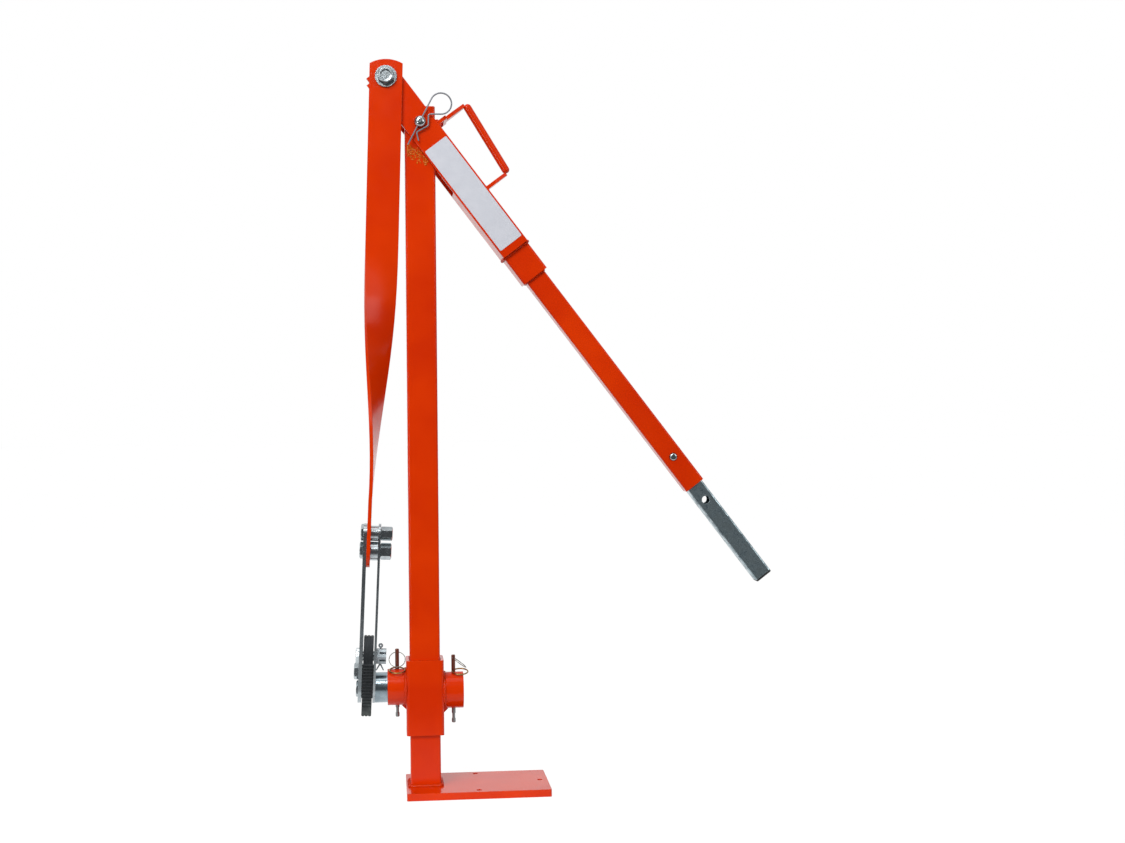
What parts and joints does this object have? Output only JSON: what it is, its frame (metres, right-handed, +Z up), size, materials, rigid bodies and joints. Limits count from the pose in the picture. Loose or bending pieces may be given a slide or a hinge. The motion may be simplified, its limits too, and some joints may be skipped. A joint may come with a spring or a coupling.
{
  "type": "post puller",
  "caption": "Hand-operated fence post and stake puller: square column on a foot plate, telescopic lever, twisted link and a sliding collar with a toothed gripping head.",
  "frame": {"origin": "on the ground, on the centre line of the column", "axes": "+Z up the column, +X along the foot plate away from the gripping head, -Y towards the user"},
  "size_m": [0.7041, 0.15, 1.209],
  "materials": {
    "orange_paint": "gloss powder coat",
    "weld": "gloss powder coat over a weld bead",
    "zinc": "bright zinc plate",
    "pipe_zinc": "bright zinc plate",
    "inner_zinc": "dull zinc plate",
    "jaw_steel": "blackened hardened steel",
    "pin_bronze": "oiled brown",
    "ring_steel": "bright wire",
    "brass": "satin",
    "black_plastic": "matte",
    "label_film": "gloss white film, blank",
    "spring_steel": "oiled spring steel"
  },
  "bodies": {
    "column": {"base_plate": "orange_paint", "column_tube": "orange_paint", "column_cap": "orange_paint", "foot_weld_bead": "weld", "pivot_bush": "orange_paint"},
    "lever": {"lever_head": "orange_paint", "head_end_plate": "orange_paint", "coupler_tube": "orange_paint", "coupler_weld_bead": "weld", "extension_tube": "orange_paint", "arm_weld_bead": "weld", "inner_tube": "inner_zinc", "end_cap": "black_plastic", "button_spring": "spring_steel", "carry_handle": "orange_paint", "handle_weld_beads": "weld", "label": "label_film"},
    "snap_button": {"snap_button": "zinc"},
    "pivot_pin": {"pivot_pin": "zinc", "spring_clip": "zinc"},
    "collar": {"collar_tube": "orange_paint", "left_socket": "orange_paint", "right_socket": "orange_paint", "socket_weld_beads": "weld"},
    "gripping_head": {"head_pipe": "pipe_zinc", "left_side_plate": "zinc", "right_side_plate": "zinc", "jaw_block": "zinc", "upper_block_bolt": "zinc", "lower_block_bolt": "zinc", "tie_bolt": "zinc", "tie_bush": "zinc", "tie_nut": "zinc", "link_foot_bolt": "zinc", "link_foot_bush": "zinc", "link_foot_nut": "zinc", "jaw_pivot_bolt": "zinc", "castle_nut": "zinc", "castle_cotter": "zinc", "twisted_link": "orange_paint", "link_top_bolt": "zinc", "link_washer": "zinc", "inner_washer": "zinc", "link_top_nut": "zinc"},
    "jaw": {"left_jaw_plate": "jaw_steel", "middle_jaw_plate": "jaw_steel", "right_jaw_plate": "jaw_steel", "jaw_rivets": "jaw_steel"},
    "lock_pin_left": {"lock_pin_left": "pin_bronze"},
    "lock_pin_right": {"lock_pin_right": "pin_bronze"},
    "pull_ring_left": {"pull_ring_left": "ring_steel"},
    "pull_ring_right": {"pull_ring_right": "ring_steel"},
    "stop_ring_left": {"stop_ring_left": "brass"},
    "stop_ring_right": {"stop_ring_right": "brass"}
  },
  "joints": [
    {"name": "lever_hinge", "type": "hinge", "parent": "column", "child": "lever", "pos_m": [0, 0, 1.108], "axis": [0, -1, 0], "range_deg": [-4, 45]},
    {"name": "collar_slide", "type": "slide", "parent": "column", "child": "collar", "axis": [0, 0, 1], "range_m": [-0.0572, 0.0055]},
    {"name": "head_lean", "type": "hinge", "parent": "collar", "child": "gripping_head", "pos_m": [-0.0455, 0, 0.1742], "axis": [0, -1, 0], "range_deg": [-0.3, 2.4]},
    {"name": "jaw_hinge", "type": "hinge", "parent": "gripping_head", "child": "jaw", "pos_m": [-0.09266, -0.014, 0.22914], "axis": [-0.9989, 0, 0.0462], "range_deg": [-4, 25]},
    {"name": "pivot_pin_turn", "type": "hinge", "parent": "column", "child": "pivot_pin", "pos_m": [0, 0, 1.108], "axis": [0, -1, 0], "range_deg": [-3, 45]},
    {"name": "snap_button_press", "type": "slide", "parent": "lever", "child": "snap_button", "axis": [0, 1, 0], "range_m": [0, 0.0057], "stiffness_N_per_m": 600},
    {"name": "lock_pin_left_pull", "type": "slide", "parent": "collar", "child": "lock_pin_left", "axis": [0, 0, 1], "range_m": [0, 0.085]},
    {"name": "lock_pin_right_pull", "type": "slide", "parent": "collar", "child": "lock_pin_right", "axis": [0, 0, 1], "range_m": [0, 0.085]},
    {"name": "pull_ring_left_swing", "type": "hinge", "parent": "lock_pin_left", "child": "pull_ring_left", "pos_m": [-0.0455, 0, 0.2322], "axis": [-1, 0, 0], "range_deg": [-10, 50]},
    {"name": "pull_ring_right_swing", "type": "hinge", "parent": "lock_pin_right", "child": "pull_ring_right", "pos_m": [0.0477, 0, 0.22], "axis": [0, -1, 0], "range_deg": [0, 60]},
    {"name": "stop_ring_left_swing", "type": "hinge", "parent": "lock_pin_left", "child": "stop_ring_left", "pos_m": [-0.0455, 0, 0.2068], "axis": [-1, 0, 0], "range_deg": [0, 8]},
    {"name": "stop_ring_right_swing", "type": "hinge", "parent": "lock_pin_right", "child": "stop_ring_right", "pos_m": [0.0477, 0, 0.1996], "axis": [-0.5, -0.8403, -0.2095], "range_deg": [0, 2]}
  ],
  "couplings": [
    {"joint": "collar_slide", "follows": "lever_hinge", "m_per_rad": -0.0722},
    {"joint": "head_lean", "follows": "lever_hinge", "ratio": 0.0496}
  ]
}
